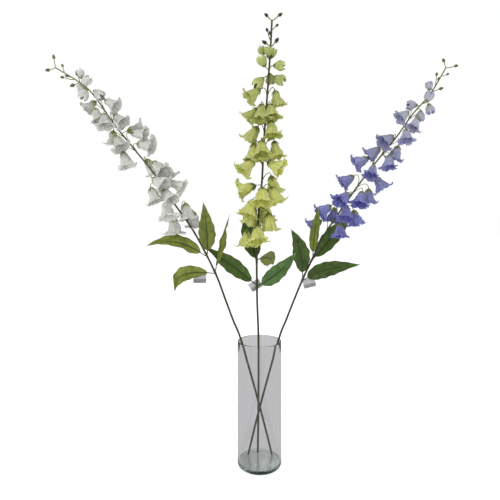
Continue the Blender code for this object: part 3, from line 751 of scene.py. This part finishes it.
# Tags: blank silver-grey film, die cut with round corners
tagLook = {
    "width": 27 * mm, "height": 20 * mm, "wall": 0.5 * mm, "cornerRadius": 2 * mm, "curl": 1.0 * mm,
    "strips": 12, "cadWall": 0.6 * mm, "gap": 0.3 * mm,
    "film": "#cbccce", "shade": "#aaabad", "patch": "#6f706b",
}


def buildTag(name, centre, across, facing, material):
    look = tagLook
    across = (across - across.project(facing)).normalized()
    upward = facing.cross(across)
    bm = bmesh.new()
    bmesh.ops.create_grid(bm, x_segments=1, y_segments=1, size=0.5)
    for vert in bm.verts:
        vert.co = Vector((vert.co.x * look["width"], vert.co.y * look["height"], 0))
    bmesh.ops.bevel(bm, geom=bm.verts[:], offset=look["cornerRadius"], affect="VERTICES", segments=5,
                    profile=0.5, material=-1)
    for n in range(1, look["strips"]):
        x = look["width"] * (n / look["strips"] - 0.5)
        bmesh.ops.bisect_plane(bm, geom=bm.verts[:] + bm.edges[:] + bm.faces[:], plane_co=(x, 0, 0),
                               plane_no=(1, 0, 0))
    spots = bm.loops.layers.uv.new("tagMap")
    rise = look["height"] * (1 if upward.z > 0 else -1)
    for face in bm.faces:
        for loop in face.loops:
            spot = loop.vert.co
            loop[spots].uv = (spot.x / look["width"] + 0.5, spot.y / rise + 0.5)
    for vert in bm.verts:
        x, y = vert.co.x, vert.co.y
        lift = look["curl"] * ((2 * x / look["width"]) ** 2 - 0.4)
        vert.co = centre + across * x + upward * y + facing * (lift + look["wall"] / 2)
    bm.normal_update()
    if bm.faces[:][0].normal.dot(facing) < 0:
        bmesh.ops.reverse_faces(bm, faces=bm.faces)
    bmesh.ops.solidify(bm, geom=bm.faces[:], thickness=look["wall"])
    piece = finishPiece(name + "_label", bm, [material], [name])
    piece.data.set_sharp_from_angle(angle=math.radians(40))


def tagMaterial(name):
    # Metallised film with a brushed print: satin, and streaked along the label
    material = newMaterial(name)
    grid = addNode(material, "TexCoord").outputs["Object"]
    stretched = addNode(material, "Mapping", {
        "Vector": grid, "Scale": (1 / (12 * mm), 1 / (12 * mm), 1 / (1.0 * mm))})
    brushed = addNode(material, "TexNoise", {"Vector": stretched, "Scale": 1.0, "Detail": 3.0})
    body = addNode(material, "Mix", {0: brushed, 6: tagLook["film"], 7: tagLook["shade"]})
    # the lower part is darker, and the darkening runs out softly at its ends
    place = addNode(material, "UVMap", uv_map="tagMap")
    parts = addNode(material, "SeparateXYZ", {"Vector": place})
    low = addNode(material, "MapRange", {"Value": parts.outputs["Y"], "From Min": 0.52, "From Max": 0.34})
    fade = addNode(material, "MapRange", {
        "Value": brushed, "From Min": 0.35, "From Max": 0.6, "To Min": 0.45})
    lowDarkShare = addNode(material, "Math", {0: low, 1: fade}, operation="MULTIPLY")
    lowDarkened = addNode(material, "Mix", {0: lowDarkShare, 6: body, 7: tagLook["patch"]})
    rough = addNode(material, "MapRange", {"Value": brushed, "To Min": 0.3, "To Max": 0.5})
    bump = addNode(material, "Bump", {"Strength": 0.15, "Distance": 0.1 * mm, "Height": brushed})
    film = addNode(material, "BsdfPrincipled", {
        "Base Color": lowDarkened, "Metallic": 0.25, "Roughness": rough, "Normal": bump})
    addNode(material, "OutputMaterial", {"Surface": film})
    return material


# Vase: clear soda-lime glass, blown in a mould, with a thick floor
vaseLook = {
    "radius": 48 * mm, "height": 270 * mm, "wall": 3 * mm, "floor": 8 * mm, "footRound": 6 * mm,
    "insideRound": 3 * mm, "rimRound": 1.4 * mm, "punt": 0.6 * mm, "puntRadius": 36 * mm, "sides": 128,
    "tint": "#faf8fb", "density": 20.0, "absorb": "#93bca4",
}


def arc(centre, radius, start, end, steps):
    # points of an arc in the profile, as distance from the axis and height, with angles in degrees
    turns = [math.radians(start + (end - start) * n / steps) for n in range(steps + 1)]
    return [(centre[0] + radius * math.cos(turn), centre[1] + radius * math.sin(turn)) for turn in turns]


def buildVase(material):
    look = vaseLook
    inside = look["radius"] - look["wall"]
    foot, rim, corner = look["footRound"], look["rimRound"], look["insideRound"]
    rimHeight = look["height"] - rim
    profile = [(0, look["punt"]), (look["puntRadius"] - 4 * mm, look["punt"]), (look["puntRadius"], 0)]
    profile += arc((look["radius"] - foot, foot), foot, -90, 0, 12)
    profile += [(look["radius"], look["height"] * share) for share in (0.1, 0.3, 0.5, 0.7, 0.9)]
    profile += arc((look["radius"] - rim, rimHeight), rim, 0, 90, 6)
    profile += arc((inside + rim, rimHeight), rim, 90, 180, 6)
    profile += [(inside, look["height"] * share) for share in (0.9, 0.7, 0.5, 0.3, 0.1)]
    profile += arc((inside - corner, look["floor"] + corner), corner, 0, -90, 8)
    profile += [(inside * 0.5, look["floor"] - 0.3 * mm), (0, look["floor"] - 0.5 * mm)]
    bm = spinProfile(profile, look["sides"])
    bmesh.ops.remove_doubles(bm, verts=bm.verts, dist=1e-6)
    bmesh.ops.recalc_face_normals(bm, faces=bm.faces)
    return finishPiece("vase_glass", bm, [material], ["vase"])


def glassMaterial(name):
    # Soda-lime glass, IOR 1.52: smooth and clear, with a green cast where it is thick or seen edge on
    material = newMaterial(name)
    # The mould leaves ripples of about 9 mm, faint in the wall and stronger round the foot.
    grid = addNode(material, "TexCoord").outputs["Object"]
    ripples = addNode(material, "TexNoise", {"Vector": grid, "Scale": 1 / (9 * mm), "Detail": 1.0})
    height = addNode(material, "SeparateXYZ", {"Vector": grid})
    strength = addNode(material, "MapRange", {
        "Value": height.outputs["Z"], "From Max": 14 * mm, "To Min": 0.5, "To Max": 0.03})
    bump = addNode(material, "Bump", {"Strength": strength, "Distance": 1.0 * mm, "Height": ripples})
    glass = addNode(material, "BsdfPrincipled", {
        "Base Color": vaseLook["tint"], "Roughness": 0.0, "IOR": 1.52, "Transmission Weight": 1.0,
        "Normal": bump})
    # light falls through it on the stems, and loses little
    clear = addNode(material, "BsdfTransparent", {"Color": "#e2e6e4"})
    path = addNode(material, "LightPath")
    both = addNode(material, "MixShader", {0: path.outputs["Is Shadow Ray"], 1: glass, 2: clear})
    depth = addNode(material, "VolumeAbsorption", {
        "Color": vaseLook["absorb"], "Density": vaseLook["density"]})
    addNode(material, "OutputMaterial", {"Surface": both, "Volume": depth})
    return material


# Camera, light and floor
cameraLook = {"lens": 30.6, "sensor": 36.0, "place": (-0.0207, -0.934, 0.539), "shiftUp": -0.064}
# The backdrop is burnt out to white, but through the glass it shows as the light grey paper that it is. Below
# the vase's floor it is in the vase's own shade, which ends softly between two distances from the axis.
stageLook = {
    "behindGlass": 0.60, "underVase": 0.31, "shadeStart": 44.8 * mm, "shadeEnd": 56 * mm,
    "lightThroughGlass": "#f2fbf5", "worldLight": 0.74, "paperLight": 0.42,
    # name, place, where it points, watts and size
    "lamps": (
        ("key", (-1.3, -1.6, 1.9), (0, 0, 0.5), 20, 1.2),
        ("fill", (1.8, -1.2, 0.9), (0, 0, 0.4), 5, 1.5),
        ("back", (0.6, 1.8, 1.6), (0, 0, 0.5), 8, 1.5),
    ),
}


def buildStage():
    look = stageLook
    camera = bpy.data.cameras.new("camera")
    camera.lens, camera.sensor_width = cameraLook["lens"], cameraLook["sensor"]
    camera.shift_y = cameraLook["shiftUp"]
    camera.clip_start, camera.clip_end = 0.01, 50
    holder = addObject("camera", camera)
    holder.location = cameraLook["place"]
    holder.rotation_euler = (math.radians(90), 0, 0)
    bpy.context.scene.camera = holder

    for name, place, aim, power, size in look["lamps"]:
        light = bpy.data.lights.new(name, "AREA")
        light.energy, light.size = power, size
        lamp = addObject(name, light)
        lamp.location = place
        lamp.rotation_euler = (Vector(aim) - Vector(place)).to_track_quat("-Z", "Y").to_euler()

    world = bpy.data.worlds.new("studio")
    world.use_nodes = True
    world.node_tree.nodes.clear()
    path = addNode(world, "LightPath")
    soft, grey, seen = (
        addNode(world, "Background", {"Color": "#ffffff", "Strength": strength})
        for strength in (look["worldLight"], look["behindGlass"], 1.0))
    around = addNode(world, "MixShader", {0: path.outputs["Is Glossy Ray"], 1: soft, 2: grey})
    both = addNode(world, "MixShader", {0: path.outputs["Is Camera Ray"], 1: around, 2: seen})
    addNode(world, "OutputWorld", {"Surface": both})
    bpy.context.scene.world = world

    paper = newMaterial("white_paper")
    sheet = addNode(paper, "BsdfPrincipled", {
        "Base Color": "#fafafa", "Roughness": 0.9, "Emission Color": "#ffffff",
        "Emission Strength": look["paperLight"]})
    path = addNode(paper, "LightPath")
    grid = addNode(paper, "TexCoord").outputs["Object"]
    near = addNode(paper, "VectorMath", {0: grid}, operation="LENGTH")
    away = addNode(paper, "MapRange", {
        "Value": near, "From Min": look["shadeStart"], "From Max": look["shadeEnd"]})
    strength = addNode(paper, "MapRange", {
        "Value": away, "To Min": look["underVase"], "To Max": look["behindGlass"]})
    tint = addNode(paper, "Mix", {0: away, 6: look["lightThroughGlass"], 7: "#ffffff"})
    shaded = addNode(paper, "Emission", {"Color": tint, "Strength": strength})
    both = addNode(paper, "MixShader", {0: path.outputs["Is Glossy Ray"], 1: sheet, 2: shaded})
    addNode(paper, "OutputMaterial", {"Surface": both})
    bm = bmesh.new()
    bmesh.ops.create_grid(bm, x_segments=1, y_segments=1, size=12)
    mesh = takeMesh("floor", bm)
    mesh.materials.append(paper)
    floor = addObject("floor", mesh)
    floor.location.z = -0.2 * mm
    bpy.context.scene.view_settings.view_transform = "Standard"


buildStage()
print("stage built")

buildVase(glassMaterial("soda_lime_glass"))
print("vase built")

templates = {
    "petals": tubeTemplate("petals_template", 16, 88),
    "calyx": tubeTemplate("calyx_template", 7, 40),
    "bud": tubeTemplate("bud_template", 8, 15),
}
leafPrints = {
    kind: [leafMaterial(f"leaf_{side}_{kind}", look, side == "underside") for side in ("print", "underside")]
    for kind, look in leafLook["prints"].items()
}
film = tagMaterial("silver_film")
for colour, spray in sprays.items():
    green = spray["green"]
    materials = {
        "outer": petalMaterial(colour + "_satin", spray["petals"], False),
        "inner": petalMaterial(colour + "_satin_inside", spray["petals"], True),
        "stem": greenMaterial(colour + "_stem_plastic", green["foot"], green["tip"], 0.55),
        "bud": greenMaterial(colour + "_bud_plastic", green["bud"], green["bud"], 0.6),
        "calyx": greenMaterial(colour + "_calyx_plastic", green["calyx"], green["calyx"], 0.6),
    }
    stem = buildSpray(colour, spray, templates, materials)
    ribs = []
    for n, leaf in enumerate(spray["leaves"], 1):
        ribs.append(buildLeaf(f"{colour}_leaf_{n}", stem, leaf, [*leafPrints[leaf[5]], materials["stem"]]))
    if "tag" in spray:
        down, right, tilt = spray["tag"]
        place, _, toRight, toFront = stem.axes(down * mm)
        behind = stem.radius(down * mm) + tagLook["gap"] + tagLook["cadWall"] / 2
        centre = place + toRight * right * mm - toFront * behind
        turn = math.radians(tilt)
        buildTag(colour + "_tag", centre, Vector((math.cos(turn), 0, math.sin(turn))), toFront, film)
    else:
        start, end = ribs[spray["tagUnderLeaf"] - 1]
        along = (end - start).normalized()
        hang = Vector((0, 0, -1))
        hang = (hang - hang.project(along)).normalized()
        drop = tagLook["height"] / 2 + leafLook["cadWall"] + 2 * tagLook["gap"]
        centre = start.lerp(end, 0.5) + hang * drop
        buildTag(colour + "_tag", centre, along, along.cross(hang), film)
    print(colour, "leaves and tag built")
for template in templates.values():
    bpy.data.meshes.remove(template)
